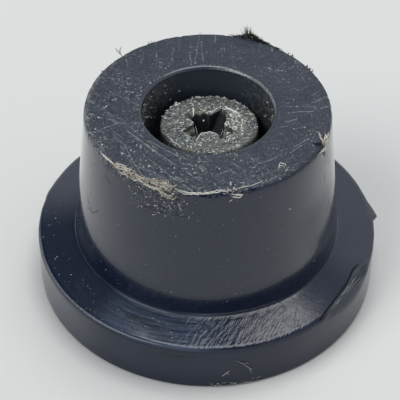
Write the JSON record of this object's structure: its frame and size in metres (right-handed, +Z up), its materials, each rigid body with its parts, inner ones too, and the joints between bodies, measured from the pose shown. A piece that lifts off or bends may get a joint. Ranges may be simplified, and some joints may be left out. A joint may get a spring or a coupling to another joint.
{
  "type": "rubber foot",
  "caption": "Round rubber foot with a sloped flange, a tapered body and a deep screw well, with its cross-recessed screw leaning loose in the well.",
  "frame": {"origin": "on the axis, in the plane of the flat underside of the flange", "axes": "+Z up the axis from the flange to the top ring, -Y towards the viewer of the picture, +X to their right"},
  "size_m": [0.025, 0.025, 0.0151],
  "materials": {
    "rubber": "satin moulded rubber, scratched and dusty",
    "steel": "dull plated steel, caked with dirt"
  },
  "bodies": {
    "root": {"foot_body": "rubber", "fixing_screw": "steel"}
  },
  "joints": []
}
